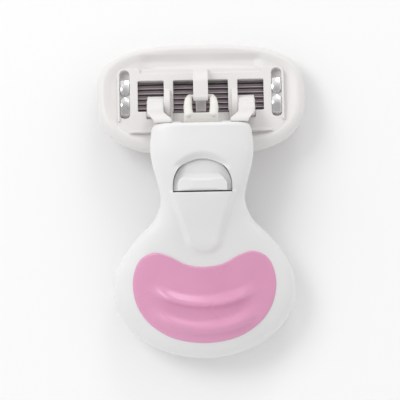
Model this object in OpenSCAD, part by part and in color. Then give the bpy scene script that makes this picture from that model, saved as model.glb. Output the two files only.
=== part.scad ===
// Compact cartridge razor: a pivoting six-blade cartridge in an oval surround, clipped by a yoke into
// the neck of a short, wide, pebble-shaped handle. It lies on its front, on the land under the paddle
// and on the cap rim of the cartridge. +Y runs from the tail to the cap, +Z out of the thumb side.

/* [Overall] */
// Length from the tail of the handle to the cap edge of the cartridge
total_len = 77.8; // [77:0.1:78.5]
// Tilt of the resting cartridge, cap down
rest_tilt = 18; // [17.5:0.1:18.5]

/* [Cartridge] */
// Width of the oval surround
head_w = 51.4; // [50.8:0.1:52]
// Width of the inner housing
housing_w = 41.2; // [41:0.1:41.6]
// Distance from one blade to the next
blade_pitch = 1.31; // [1.29:0.01:1.32]
// Length of each blade
blade_len = 38; // [37:0.1:38.2]
// Width of the metal clips
clip_w = 2.3; // [2:0.1:2.3]

/* [Handle] */
// Width of the paddle
paddle_w = 45.1; // [44.5:0.1:45.5]
// Length of the rounded tail behind the widest place
tail_len = 16.9; // [16.5:0.1:17.2]
// Wall thickness in the neck
neck_wall = 1.4; // [1.3:0.05:1.45]
// Wall thickness in the paddle
paddle_wall = 2.2; // [2:0.1:2.4]
// Height of the raised tongue below the button
tongue_h = 1.1; // [0.8:0.1:1.2]
// How far the thumb pad stands out of the paddle
pad_proud = 0.5; // [0.3:0.1:0.7]

/* [Release] */
// Radius of the half-moon opening round the button
button_r = 7.3; // [7.2:0.05:7.4]
// Gap between the button and its opening
button_gap = 0.3; // [0.25:0.05:0.35]
// Wire diameter of both springs
wire_d = 0.35; // [0.3:0.05:0.4]

/* [Hidden] */
$fn = 48;

// Cartridge outline, in its own frame: y towards the cap, z out of the back, pivot at the origin
rim_y = 3.7;
cap_reach = 12.5;
guard_reach = 16;
rim_front = -2.4;
rim_back = 2.6;
rim_fillet = 2;
housing_low = -7.3;
housing_high = 9.7;
plate_low = 1.25;
plate_high = 2.5;
bay_low = -1.75;
bay_high = 6.45;
window_low = -1.65;
window_high = 6.4;
clip_x = 18.8;
slot_low = -2.2;
slot_high = 8;
clip_t = 0.3;

// The pivot sits where the cap edge reaches the full length and the cap rim touches the ground
cap_edge_y = (rim_y + cap_reach) * cos(rest_tilt) + 0.9 * sin(rest_tilt);
pivot_y = total_len / 2 - cap_edge_y;
pivot_z = (rim_y + cap_reach - rim_fillet) * sin(rest_tilt) + (rim_front + rim_fillet) * -cos(rest_tilt) + rim_fillet;

// Arcuate bearing between yoke and cartridge
hub_r = 2.94;
shell_in = 3;
shell_out = 4.2;
rail_in = 3.36;
rail_out = 3.94;
bearing_x0 = 9.25;
bearing_x1 = 13.3;
cheek_r = 4.7;

// Handle stations from tail to nose: y, half width, parting height, crown height, belly height
tail_y = tail_len - total_len / 2;
nose_y = 19.4;
stations = [
    [tail_y - 5, paddle_w / 2 - 0.85, 5.6, 13.5, 0.9],
    [tail_y, paddle_w / 2, 5.4, 13.2, 0.9],
    [-17, 21.75, 5.6, 13.5, 0.9],
    [-12.5, 19.3, 6.4, 14.3, 1.3],
    [-8.5, 16.1, 7.8, 15.6, 2.6],
    [-5, 12.6, 9.6, 17.1, 4.5],
    [-2, 10.95, 11.4, 18.4, 6.6],
    [1, 10.42, 13, 19.4, 8.6],
    [5, 11.2, 14.6, 20.4, 10.8],
    [9, 12.25, 15.5, 20.9, 12.4],
    [13, 12.75, 16.2, 21, 13.3],
    [nose_y, 12.15, 16.9, 20.4, 13.6]
];
shape_n = 2.5;

// Button and springs
opening_y = 3.9;
opening_back = 2.3;
core_z = 16.1;
lip_z = core_z + 1.1;
spring_r = 1.15;
stem_r = 0.8;
post_y = 7.4;
post_t = 1;
flange_y = 13.7;
tail_back = 12.05;

// Horn tips of the plunger
tip_y = pivot_y + 2.6;
tip_z = pivot_z + 4.2;
tip_r = 0.6;

plastic_white = [0.93, 0.93, 0.92];
plastic_cream = [0.95, 0.95, 0.89];
rubber_pink = [0.88, 0.62, 0.76];
steel = [0.62, 0.58, 0.6];

// --- shared functions ---

// Power that keeps its sign
function signed_pow(v, e) = sign(v) * pow(abs(v), e);

// Height of a unit superellipse at u
function dome(u, n) = pow(max(0, 1 - pow(abs(u), n)), 1 / n);

// Number of the stretch of a table that holds y
function stretch(table, y, i = 0) =
    (i >= len(table) - 2 || y < table[i + 1][0]) ? i : stretch(table, y, i + 1);

// Slope of column k at row i
function slope(table, i, k) =
    let (a = max(i - 1, 0), b = min(i + 1, len(table) - 1))
    (table[b][k] - table[a][k]) / (table[b][0] - table[a][0]);

// Smooth curve through column k of a table at y
function smooth(table, y, k) =
    let (
        i = stretch(table, y),
        h = table[i + 1][0] - table[i][0],
        t = (y - table[i][0]) / h,
        rise = table[i + 1][k] - table[i][k],
        s0 = h * slope(table, i, k),
        s1 = h * slope(table, i + 1, k)
    )
    table[i][k] + t * s0 + t * t * (3 * rise - 2 * s0 - s1) + t * t * t * (s0 + s1 - 2 * rise);

// Blend from 0 to 1 as v goes from a to b
function blend(a, b, v) = let (t = min(1, max(0, (v - a) / (b - a)))) t * t * (3 - 2 * t);

// Handle surface: the share of its height that is left in the rounded tail
function tail_share(y) = y < tail_y ? dome((tail_y - y) / tail_len, shape_n) : 1;
function tail_width(y) = sqrt(max(0, 1 - pow((tail_y - y) / tail_len, 2)));
function half_width(y) = y < tail_y ? paddle_w / 2 * tail_width(y) : smooth(stations, y, 1);
function parting(y) = smooth(stations, max(y, tail_y), 2);
function crown(y) = parting(y) + (smooth(stations, max(y, tail_y), 3) - parting(y)) * tail_share(y);
function back_z(x, y) = parting(y) + (crown(y) - parting(y)) * dome(x / half_width(y), shape_n);
function wall(y) = paddle_wall + (neck_wall - paddle_wall) * blend(-10, -2, y);

// --- shared solids ---

// Closed solid through rings of equal length, flat at both ends
module loft(rings) {
    n = len(rings[0]);
    last = len(rings) - 1;
    polyhedron(
        points = [for (r = rings) each r],
        faces = concat(
            [[for (i = [n - 1:-1:0]) i]],
            [
                for (k = [0:last - 1], i = [0:n - 1])
                let (a = k * n + i, b = k * n + (i + 1) % n)
                each [[a, b, b + n], [a, b + n, a + n]]
            ],
            [[for (i = [0:n - 1]) last * n + i]]
        )
    );
}

// Solid between two lists of heights over a star-shaped outline that runs clockwise
module patch(plan, n, tops, bottoms) {
    m = len(plan);
    rings = (m - 1) / n;
    polyhedron(
        points = concat(
            [for (i = [0:m - 1]) [plan[i].x, plan[i].y, tops[i]]],
            [for (i = [0:m - 1]) [plan[i].x, plan[i].y, bottoms[i]]]
        ),
        faces = concat(
            [for (i = [0:n - 1]) [0, 1 + i, 1 + (i + 1) % n]],
            [for (i = [0:n - 1]) [m, m + 1 + (i + 1) % n, m + 1 + i]],
            [
                for (k = [0:rings - 2], i = [0:n - 1])
                let (a = 1 + k * n + i, b = 1 + k * n + (i + 1) % n)
                each [
                    [a, b + n, b], [a, a + n, b + n],
                    [m + a, m + b, m + b + n], [m + a, m + b + n, m + a + n]
                ]
            ],
            [
                for (i = [0:n - 1])
                let (a = 1 + (rings - 1) * n + i, b = 1 + (rings - 1) * n + (i + 1) % n)
                each [[a, m + b, b], [a, m + a, m + b]]
            ]
        )
    );
}

// A profile drawn in y and z, extruded along X between x0 and x1
module along_x(x0, x1) {
    translate([x0, 0, 0])
        rotate([90, 0, 90])
            linear_extrude(height = x1 - x0)
                children();
}

// Box from its two corners
module box(a, b) {
    translate(a)
        cube(b - a);
}

// The same thing on the left and on the right
module both_sides() {
    children();
    mirror([1, 0, 0])
        children();
}

// Cylinder along X round the pivot
module pivot_cylinder(r, x0, x1) {
    translate([x0, 0, 0])
        rotate([0, 90, 0])
            cylinder(r = r, h = x1 - x0, $fn = 96);
}

// Sector of the bearing between two angles from +Y towards +Z, at rest in the handle's frame
module bearing_sector(r0, r1, a0, a1, x0, x1) {
    intersection() {
        difference() {
            pivot_cylinder(r1, x0, x1);
            pivot_cylinder(r0, x0 - 1, x1 + 1);
        }
        along_x(x0 - 1, x1 + 1)
            polygon([[0, 0], 9 * [cos(a0), sin(a0)], 12 * [cos((a0 + a1) / 2), sin((a0 + a1) / 2)], 9 * [cos(a1), sin(a1)]]);
    }
}

// Plate with round corners, its four radii from the low left corner round
module round_plate(x, y0, y1, z0, z1, r_low, r_high) {
    translate([0, 0, z0])
        linear_extrude(height = z1 - z0)
            union() {
                translate([-x + r_low, y0])
                    square([2 * (x - r_low), y1 - y0 - r_high]);
                translate([-x, y0 + r_low])
                    square([2 * x, y1 - y0 - r_low - r_high]);
                translate([-x + r_high, y0 + r_low])
                    square([2 * (x - r_high), y1 - y0 - r_low]);
                for (s = [-1, 1]) {
                    translate([s * (x - r_low), y0 + r_low])
                        circle(r_low);
                    translate([s * (x - r_high), y1 - r_high])
                        circle(r_high);
                }
            }
}

// Puts a piece of the cartridge where it rests
module in_cartridge() {
    translate([0, pivot_y, pivot_z])
        rotate([-rest_tilt, 0, 0])
            children();
}

// Evaluates its children as one mesh, with no change of size
module as_mesh() {
    resize([0, 0, 0])
        children();
}

// --- cartridge ---

// One ring of the surround, set in from its outline
function rim_ring(inset, z, n = 72) = [
    for (i = [0:n - 1])
    let (
        a = 360 * i / n,
        up = sin(a) > 0,
        e = 2 / (up ? 2.8 : 2.9),
        reach = (up ? cap_reach : guard_reach) - inset
    )
    [(head_w / 2 - inset) * signed_pow(cos(a), e), rim_y + reach * signed_pow(sin(a), e), z]
];

// Outline of a plate with round corners, its points counter-clockwise
function round_outline(x, y0, y1, r_low, r_high) = [
    for (c = [[1, y0 + r_low, r_low, -90], [1, y1 - r_high, r_high, 0], [-1, y1 - r_high, r_high, 90], [-1, y0 + r_low, r_low, 180]])
        for (a = [0:11.25:90])
            [c[0] * (x - c[2]) + c[2] * cos(c[3] + a), c[1] + c[2] * sin(c[3] + a)]
];

// Recess in the surround with round corners, open to the back or right through
module recess(x, y0, y1, floor_z, r_low, r_high) {
    translate([0, 0, floor_z])
        linear_extrude(height = 12)
            polygon(round_outline(x, y0, y1, r_low, r_high));
}

module comfort_surround() {
    color(plastic_white)
        in_cartridge()
            as_mesh()
                difference() {
                    loft([
                        rim_ring(5.25, 1.9),
                        rim_ring(3.6, 2.05),
                        rim_ring(2.4, 2.45),
                        rim_ring(1.6, rim_back),
                        rim_ring(0.95, 2.35),
                        rim_ring(0.35, 1.75),
                        rim_ring(0, 0.9),
                        rim_ring(0, -0.4),
                        rim_ring(0.27, -1.4),
                        rim_ring(1, -2.13),
                        rim_ring(2, rim_front)
                    ]);
                    // opening for the housing, with a little air round it
                    recess(housing_w / 2 + 0.1, housing_low - 0.1, housing_high + 0.1, -6, 3, 1.6);
                    // shallow trough between the housing and the cap edge
                    recess(15, housing_high - 1, 12.7, 1.15, 1, 1.2);
                }
}

// One window of the back plate
module window(x0, x1, y0, y1) {
    box([x0, y0, plate_low - 1], [x1, y1, plate_high + 4]);
}

// Slot for one clip, with round ends, deeper past the clip's two bends
module clip_slot() {
    x0 = clip_x - clip_w / 2 - 0.12;
    x1 = clip_x + clip_w / 2 + 0.12;
    r = (x1 - x0) / 2;
    for (z0 = [1.58, 0.6])
        difference() {
            translate([0, 0, z0])
                linear_extrude(height = 4)
                    union() {
                        translate([x0, slot_low])
                            square([x1 - x0, slot_high - slot_low]);
                        for (y = [slot_low, slot_high])
                            translate([x0 + r, y])
                                circle(r);
                    }
            if (z0 < 1)
                box([x0 - 1, bay_low, 0], [x1 + 1, bay_high, 8]);
        }
    // holes for the two sides of the clip
    box([x0, bay_low - 0.62, -4], [x1, bay_low + 0.1, 3]);
    box([x0, bay_high - 0.1, -4], [x1, bay_high + 0.62, 3]);
}

// Centre tab: a bridge over the horn tips that carries the cam under it
module centre_tab() {
    along_x(-1.8, 1.8)
        polygon([[9.2, 1.4], [9.2, 2.9], [7.4, 5.2], [5.6, 6.55], [4.8, 6.8], [0.3, 6.8], [-0.35, 6.4], [-0.35, 5.75], [4, 5.6], [4.9, 5.2], [6.6, 1.4]]);
}

module cartridge_frame() {
    color(plastic_white)
        in_cartridge()
            difference() {
                union() {
                    difference() {
                        round_plate(housing_w / 2, housing_low, housing_high, -1.2, plate_high, 3, 1.5);
                        // blade bay, open to the front
                        box([-19.25, bay_low, -4], [19.25, bay_high, plate_low]);
                        both_sides() {
                            // inner window, outer window and its leg beside the bearing
                            window(2, 6.8, window_low, window_high);
                            window(9.1, 15.6, 1.7, window_high);
                            window(13.45, 15.6, window_low, window_high);
                            clip_slot();
                        }
                        // slits beside the centre beam
                        both_sides()
                            window(1.25, 2.1, window_low, window_high);
                        // low centre of the guard wall, under the plunger
                        box([-7, housing_low - 1, plate_low - 0.05], [7, window_low + 0.05, 8]);
                        // lower top face of the centre beam and of the cap wall
                        box([-1.3, window_low, 2.15], [1.3, window_high, 8]);
                        box([-15, 8.3, 1.9], [15, housing_high + 1, 8]);
                        // room for the yoke's bearing shells
                        both_sides()
                            pivot_cylinder(4.4, 9.1, 13.45);
                    }
                    // hubs that the yoke's shells ride on, carried by the ribs
                    both_sides()
                        intersection() {
                            pivot_cylinder(hub_r, 8.9, 13.2);
                            box([8, -4, plate_low], [14, 4, 4]);
                        }
                    // cheeks on the ribs
                    both_sides()
                        intersection() {
                            pivot_cylinder(cheek_r, 7.6, 9.1);
                            box([7, -5, plate_low], [10, 5, 6]);
                        }
                    centre_tab();
                    // cam that the horn tips press on
                    box([-1.6, 1.9, plate_low], [1.6, 3.6, 5.9]);
                    // raised walls along the sides and the guard edge
                    both_sides() {
                        box([housing_w / 2 - 0.5, -4.3, plate_high - 1], [housing_w / 2, 8.2, 3.2]);
                        box([8.5, housing_low, plate_high - 1], [17.6, housing_low + 0.6, 3.2]);
                        // fingers over the blade ends
                        for (i = [1:6])
                            box([16.1, blade_y(i) + 0.3, plate_low - 0.08], [17.3, blade_y(i) + 1, plate_low + 0.2]);
                    }
                }
                // arcuate grooves for the yoke's rails
                both_sides()
                    bearing_sector(rail_in - 0.1, rail_out + 0.1, 29, 147, 8.4, 9.2);
            }
}

module lubricating_strip() {
    color([0.9, 0.66, 0.78])
        in_cartridge()
            difference() {
                round_plate(17.3, 6.95, 9.55, -2.35, -1.2, 0.5, 0.9);
                // shallow channels that hold water
                for (y = [7.6, 8.25, 8.9])
                    translate([-16, y, -2.35])
                        rotate([0, 90, 0])
                            cylinder(r = 0.16, h = 32, $fn = 24);
            }
}

module guard_strip() {
    color(rubber_pink)
        in_cartridge() {
            round_plate(17.2, -7.1, -2.5, -1.75, -1.2, 1, 0.5);
            for (i = [0:6])
                box([-16.6, -6.6 + 0.62 * i, -2.35], [16.6, -6.3 + 0.62 * i, -1.7]);
        }
}

// Bent band in y and z, open at the back where its two legs nearly meet
clip_gap_y = 2.35;
module clip_profile() {
    y0 = bay_low - 0.5;
    y1 = bay_high + 0.5;
    difference() {
        translate([y0, -1.8])
            square([y1 - y0, 3.8]);
        translate([y0 + clip_t, -1.8 + clip_t])
            square([y1 - y0 - 2 * clip_t, 3.8 - 2 * clip_t]);
        translate([clip_gap_y, 1.2])
            square([0.25, 2]);
    }
}

module clip(side) {
    color([0.75, 0.75, 0.77])
        in_cartridge()
            intersection() {
                along_x(side * clip_x - clip_w / 2, side * clip_x + clip_w / 2)
                    clip_profile();
                // round the tips of the two legs
                union() {
                    box([side * clip_x - 2, -4, -3], [side * clip_x + 2, clip_gap_y - clip_w / 2, 3]);
                    box([side * clip_x - 2, clip_gap_y + 0.25 + clip_w / 2, -3], [side * clip_x + 2, 8, 3]);
                    box([side * clip_x - 2, -4, -3], [side * clip_x + 2, 8, 1]);
                    for (y = [clip_gap_y - clip_w / 2, clip_gap_y + 0.25 + clip_w / 2])
                        translate([side * clip_x, y, -3])
                            cylinder(r = clip_w / 2, h = 6);
                }
            }
}

blade_slope = 22;
support_t = 0.24;
function blade_y(i) = bay_low + 1.34 + blade_pitch * (i - 1);

// Strip along X with its section drawn along the blade's slope, measured from the bend of the support
module slanted_strip(i, from, to, low, high) {
    translate([0, blade_y(i), -0.6])
        rotate([blade_slope, 0, 0])
            box([-blade_len / 2, -to, low], [blade_len / 2, -from, high]);
}

module blade(i) {
    color([0.8, 0.8, 0.82])
        in_cartridge()
            difference() {
                slanted_strip(i, 0.3, 1.4, -0.1, 0);
                // ground edge
                translate([0, blade_y(i), -0.6])
                    rotate([blade_slope, 0, 0])
                        translate([0, -1.4, 0])
                            rotate([-18, 0, 0])
                                box([-20, -1, -1], [20, 1, 0]);
            }
}

// Point on the slanted part of a support, a distance d from its bend and h above its face
function on_slope(d, h) = [-d * cos(blade_slope) - h * sin(blade_slope), h * cos(blade_slope) - d * sin(blade_slope)];

module blade_support(i) {
    knee = (support_t / 2 - support_t * sin(blade_slope)) / cos(blade_slope);
    color(steel)
        in_cartridge()
            translate([0, blade_y(i), -0.6])
                along_x(-blade_len / 2, blade_len / 2)
                    polygon([
                        [support_t / 2, 0], [support_t / 2, 1.55], [-support_t / 2, 1.55],
                        on_slope(knee, support_t), on_slope(1, support_t), on_slope(1, 0), [0, 0]
                    ]);
}

// --- yoke ---

module yoke() {
    color(plastic_white) {
        translate([0, pivot_y, pivot_z])
            both_sides() {
                bearing_sector(shell_in, shell_out, 58, 122, bearing_x0, bearing_x1);
                bearing_sector(rail_in, rail_out, 62, 118, bearing_x0 - 0.7, bearing_x0 + 0.3);
            }
        // arms from the shells up to the collar at the mouth, clear of the frame's cheeks
        difference() {
            both_sides()
                intersection() {
                    along_x(6, 15)
                        polygon([
                            [pivot_y + 1.2, pivot_z + 3.85], [pivot_y - 2.1, pivot_z + 3.45],
                            [pivot_y - 3.1, 14.4], [19.55, 15.3], [19.55, 18.7], [20.6, 18.3],
                            [21.6, 16.6], [pivot_y - 0.3, 13.2], [pivot_y + 1.2, 11.3]
                        ]);
                    linear_extrude(height = 30)
                        polygon([
                            [bearing_x0, 30], [bearing_x1, 30], [bearing_x1, 22.2], [11.6, 20], [11.2, 18],
                            [7.3, 18], [7.3, 20.4], [bearing_x0, 22]
                        ]);
                }
            translate([0, pivot_y, pivot_z])
                pivot_cylinder(cheek_r + 0.3, -bearing_x0, bearing_x0);
        }
        // tail that plugs into the neck
        both_sides()
            box([5, tail_back, 15.7], [9.2, 19.6, 18]);
        both_sides()
            box([7.3, 19.5, 15.7], [9.2, 20.2, 18]);
        box([-6.5, tail_back, 17.7], [6.5, tail_back + 1.6, 18.55]);
        // stiffening fillets between the cross bar and the arms
        both_sides()
            box([4.6, tail_back + 1.5, 17.7], [5.1, tail_back + 2.4, 18]);
    }
}

// --- plunger and springs ---

module horn() {
    knees = [[3.1, 21.3, 16.25, 1.1], [3.25, 23.4, 14.7, 1.05], [3.1, 25, 12.7, 0.9], [2.85, tip_y - 0.05, tip_z + 0.1, 0.65]];
    for (k = [0:2])
        hull() {
            translate([knees[k][0], knees[k][1], knees[k][2]])
                sphere(r = knees[k][3], $fn = 24);
            translate([knees[k + 1][0], knees[k + 1][1], knees[k + 1][2]])
                sphere(r = knees[k + 1][3], $fn = 24);
        }
    translate([0.9, tip_y, tip_z])
        rotate([0, 90, 0])
            cylinder(r = tip_r, h = 2.1);
}

module plunger() {
    color(plastic_cream) {
        // stem inside the spring and flange against it
        translate([0, 7.9, core_z])
            rotate([-90, 0, 0])
                cylinder(r = stem_r, h = flange_y + 0.5 - 7.9);
        box([-1.6, flange_y, 14.9], [1.6, flange_y + 1, 17.3]);
        box([-1.6, flange_y + 0.9, 15.1], [1.6, 18, 17.1]);
        // wedge that widens to the bar
        translate([0, 0, 15.1])
            linear_extrude(height = 2)
                polygon([[-1.6, 15.5], [1.6, 15.5], [4.2, 18.4], [4.2, 21.2], [3.6, 21.8], [-3.6, 21.8], [-4.2, 21.2], [-4.2, 18.4]]);
        both_sides()
            horn();
    }
}

// Coil spring along Y between two planes, with few enough turns to close up over the whole travel
module coil(y0, y1, turns) {
    steps = 14;
    sides = 6;
    total = turns * steps;
    wire = wire_d / 2;
    loft([
        for (k = [0:total])
        let (
            a = 360 * k / steps,
            c = [spring_r * cos(a), y0 + wire + (y1 - y0 - wire_d) * k / total, core_z + spring_r * sin(a)],
            out = [cos(a), 0, sin(a)]
        )
        [for (j = [0:sides - 1]) let (b = -360 * j / sides) c + wire * (cos(b) * out + [0, sin(b), 0])]
    ]);
}

module plunger_spring() {
    color("silver")
        coil(post_y + post_t, flange_y, 4.5);
}

module button_spring() {
    color("silver")
        coil(1.8, post_y, 6);
}

// --- release button ---

// Half-moon prism round the button's opening, set in by a gap
module half_moon(gap, z0, z1) {
    translate([0, 0, z0])
        linear_extrude(height = z1 - z0)
            intersection() {
                union() {
                    translate([0, opening_y])
                        circle(button_r - gap, $fn = 96);
                    translate([-button_r + gap, opening_back - 1])
                        square([2 * (button_r - gap), opening_y - opening_back + 1]);
                }
                translate([-10, opening_back + gap])
                    square([20, 20]);
            }
}

// Long cylinder along Y whose top line is at z
module arch(z, r) {
    translate([0, -5, z - r])
        rotate([-90, 0, 0])
            cylinder(r = r, h = 30, $fn = 180);
}

module release_button() {
    color(plastic_white)
        difference() {
            union() {
                // scooped front that runs under the edge of the shell
                intersection() {
                    half_moon(button_gap, core_z, 22);
                    along_x(-8, 8)
                        polygon([[2, 16], [2, 20], [5, 20], [6.6, 19], [11.5, 18.4], [11.5, 16]]);
                    arch(19, 26);
                }
                // lip that keeps the scoop closed under the arc of the opening
                intersection() {
                    translate([0, opening_y, lip_z])
                        cylinder(r = button_r + 0.9, h = 3, $fn = 96);
                    along_x(-8, 8)
                        polygon([[6.4, 16], [6.4, 18.6], [8, 18.5], [11.2, 18.35], [11.85, 18.1], [11.85, 16]]);
                    arch(18.6, 26);
                }
                // thumb ledge
                intersection() {
                    translate([0, 1.4, core_z])
                        cylinder(r = 6.7, h = 6, $fn = 96);
                    along_x(-5.9, 5.9)
                        polygon([[2.7, 16.2], [2.7, 20.3], [3.2, 20.85], [5.2, 20.95], [5.6, 20.7], [6.9, 18.6], [6.9, 16.2]]);
                    arch(21, 24);
                }
                // flanges that hold the button under the shell
                both_sides()
                    box([6.65, 2.9, 15.5], [7.9, 8.2, 16.4]);
                box([-4.5, 9.5, 17.2], [4.5, 11.85, 18.1]);
            }
            // channel over the springs
            box([-2.2, 0, 15], [2.2, 14, 17.75]);
        }
}

module ejector() {
    color(plastic_white) {
        box([-6.6, 0.6, 14.7], [6.6, 1.8, core_z]);
        box([-1.6, 0.6, 14.7], [1.6, 1.8, 17.5]);
        // legs, raised at the front to clear the floor of the neck
        both_sides() {
            box([4.6, 0.6, 14.7], [6.6, 6, core_z]);
            box([4.6, 5.9, 15.2], [6.6, 11.9, core_z]);
            box([4.8, 9.6, 15.2], [6.6, 11.9, lip_z]);
        }
    }
}

module chassis() {
    color([0.88, 0.88, 0.86])
        difference() {
            union() {
                box([-6.6, -3.2, 13.9], [6.6, 8.6, 14.6]);
                box([-1.8, post_y, 14.5], [1.8, post_y + post_t, 17.6]);
                both_sides()
                    box([3.6, 4.7, 14.5], [4.4, 8.4, 15.9]);
            }
            // guide bore of the plunger's stem
            translate([0, 0, core_z])
                rotate([-90, 0, 0])
                    cylinder(r = stem_r + 0.05, h = 20);
            both_sides()
                translate([4.5, -1.6, 10])
                    cylinder(r = 0.95, h = 10);
        }
}

// --- handle ---

ring_n = 48;

// One closed section of the handle at y
function section(y, w, top, mid, low) = [
    for (i = [0:ring_n - 1])
    let (a = 360 * (i + 0.5) / ring_n)
    [w * signed_pow(cos(a), 2 / shape_n), y, mid + (sin(a) > 0 ? top - mid : mid - low) * signed_pow(sin(a), 2 / shape_n)]
];

// Section in the rounded tail at angle f from its widest place, and in the neck, both set in by a wall
function tail_section(f, d) =
    let (k = dome(sin(f), shape_n), row = stations[1])
    section(
        tail_y - (tail_len - d) * sin(f),
        (paddle_w / 2 - d) * cos(f),
        row[2] + (row[3] - d - row[2]) * k,
        row[2],
        row[2] - (row[2] - row[4] - d) * k
    );

function neck_section(y, d) = section(
    y,
    smooth(stations, y, 1) - d,
    smooth(stations, y, 3) - d,
    smooth(stations, y, 2),
    smooth(stations, y, 4) + d
);

// Angles of n rings in the rounded tail, closer together towards its end
function tail_angles(n) = [for (k = [0:n - 1]) 88 * (1 - pow(k / n, 1.4))];

// Outer form of the handle
module handle_outer() {
    loft(concat(
        [for (f = tail_angles(11)) tail_section(f, 0)],
        [for (y = [tail_y:1.6:nose_y - 1.2]) neck_section(y, 0)],
        [for (a = [0:30:90]) neck_section(nose_y - 0.9 + 0.9 * sin(a), 0.9 * (1 - cos(a)))]
    ));
}

// Hollow inside, open at the mouth
module handle_inner() {
    loft(concat(
        [for (f = tail_angles(8)) tail_section(f, paddle_wall)],
        [for (y = [tail_y:2.4:nose_y]) neck_section(y, wall(y))],
        [for (p = [0, 2]) [for (q = neck_section(nose_y, neck_wall)) q + [0, p, 0]]]
    ));
}

// Everything above the parting line
module above_parting() {
    ys = [for (y = [-42.3:1.6:24]) y];
    along_x(-30, 30)
        polygon(concat([for (y = ys) [y, parting(min(y, nose_y))]], [[24, 40], [-42.3, 40]]));
}

// Half outline of the kidney-shaped thumb pad, from its notch round to its low end
kidney_half = [
    [0, -16.2], [4.6, -15.5], [8.6, -13.5], [12.3, -12.5], [15.7, -14.1], [17.4, -17.6],
    [17.7, -21.8], [16.4, -26.4], [13.2, -30.6], [7.6, -33.9]
];
kidney = concat(
    kidney_half,
    [[0, -35.1]],
    [for (i = [len(kidney_half) - 1:-1:1]) [-kidney_half[i].x, kidney_half[i].y]]
);
kidney_mid = [0, -24];

// Smooth closed curve through a list of points, at a place t from 0 to its length
function closed_curve(points, t) =
    let (
        n = len(points),
        i = floor(t) % n,
        f = t - floor(t),
        a = points[(i + n - 1) % n],
        b = points[i],
        c = points[(i + 1) % n],
        d = points[(i + 2) % n]
    )
    0.5 * (2 * b + f * (c - a) + f * f * (2 * a - 5 * b + 4 * c - d) + f * f * f * (3 * b - a - 3 * c + d));

// Crescent ridge: an arc with a given centre and radius, fading out towards its ends
function ridge(x, y, cy, r, reach, h) =
    let (d = norm([x, y - cy]) - r)
    (y > cy ? 0 : h * (1 - blend(reach * 0.55, reach, abs(x))) * blend(-2.6, -0.1, d) * (1 - blend(0, 1.5, d)));

// Top of the thumb pad over the paddle
function pad_top(x, y, s) =
    back_z(x, y) + pad_proud - 0.45 * blend(0.93, 1, s)
    + ridge(x, y, 0.3, 26, 14, 0.7) + ridge(x, y, -8.5, 23.4, 14.5, 0.7);

// Thumb pad solid, grown in plan and sunk below the paddle's surface
module kidney_solid(grow, depth, full) {
    n = 60;
    steps = full ? [0.15, 0.3, 0.42, 0.54, 0.64, 0.73, 0.81, 0.88, 0.94, 0.98, 1] : [0.3, 0.55, 0.75, 0.9, 1];
    rim = [for (i = [0:n - 1]) let (p = closed_curve(kidney, i * len(kidney) / n), v = p - kidney_mid) p + grow * v / norm(v)];
    plan = concat([kidney_mid], [for (s = steps, p = rim) kidney_mid + (p - kidney_mid) * s]);
    shares = concat([0], [for (s = steps, p = rim) s]);
    patch(
        plan,
        n,
        [for (i = [0:len(plan) - 1]) full ? pad_top(plan[i].x, plan[i].y, shares[i]) : 30],
        [for (p = plan) back_z(p.x, p.y) - depth]
    );
}

module grip_pad_back() {
    color(rubber_pink)
        as_mesh()
            kidney_solid(0, 0.85, true);
}

// Half width of the raised tongue at y
tongue_end = -12.85;
tongue_front = 2.2;
function tongue_half(y) =
    let (r = 4.2, c = tongue_end + r, straight = 4.2 + (7.7 - 4.2) * (y - c) / (tongue_front - c))
    y > c ? straight : sqrt(max(0.01, r * r - (y - c) * (y - c)));

// Raised tongue between the button and the thumb pad
module tongue() {
    ys = concat([for (a = [87:-13:9]) tongue_end + 4.2 - 4.2 * sin(a)], [for (k = [0:7]) tongue_end + 4.2 + (tongue_front - tongue_end - 4.2) * k / 7]);
    loft([
        for (y = ys)
        let (
            w = tongue_half(y),
            h = tongue_h * blend(tongue_end - 2.5, tongue_end + 2.5, y),
            edge = [[-1, -0.6], [-0.93, 0.75], [-0.84, 1], [-0.45, 1], [0, 1], [0.45, 1], [0.84, 1], [0.93, 0.75], [1, -0.6]]
        )
        concat(
            [for (i = [len(edge) - 1:-1:0]) let (x = edge[i][0] * (w + 0.5)) [x, y, back_z(x, y) + h * edge[i][1]]],
            [[-0.9 * w, y, back_z(w, y) - 0.9], [0.9 * w, y, back_z(w, y) - 0.9]]
        )
    ]);
}

// Places of the snap posts that join the two shells
post_places = [[13, -20], [-13, -20], [0, -33]];

module handle_back_shell() {
    color(plastic_white)
        as_mesh() {
            difference() {
                intersection() {
                    union() {
                        handle_outer();
                        tongue();
                    }
                    above_parting();
                }
                handle_inner();
                kidney_solid(0.02, 0.87, false);
                half_moon(0, 10, 30);
            }
            for (p = post_places)
                translate([p.x, p.y, 3.4])
                    cylinder(r = 1.1, h = back_z(p.x, p.y) - 3.4 - 1.4, $fn = 24);
        }
}

module handle_front_shell() {
    color(plastic_white)
        as_mesh()
            difference() {
                union() {
                    difference() {
                        handle_outer();
                        above_parting();
                        handle_inner();
                    }
                    for (p = post_places)
                        translate([p.x, p.y, 2.4])
                            cylinder(r = 2.1, h = 3.2, $fn = 24);
                    for (s = [-1, 1]) {
                        translate([s * 4.5, -1.6, 8])
                            cylinder(r = 1.7, h = 5.9, $fn = 24);
                        translate([s * 4.5, -1.6, 8])
                            cylinder(r = 0.85, h = 6.5, $fn = 24);
                    }
                }
                for (p = post_places)
                    translate([p.x, p.y, 3.2])
                        cylinder(r = 1.2, h = 5, $fn = 24);
                // notch in the lip under the plunger
                box([-4.9, nose_y - 1.6, 10], [4.9, nose_y + 2, 15.2]);
                // flat pocket for the lower pad
                land(0.02, -1, 1.62);
            }
}

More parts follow.
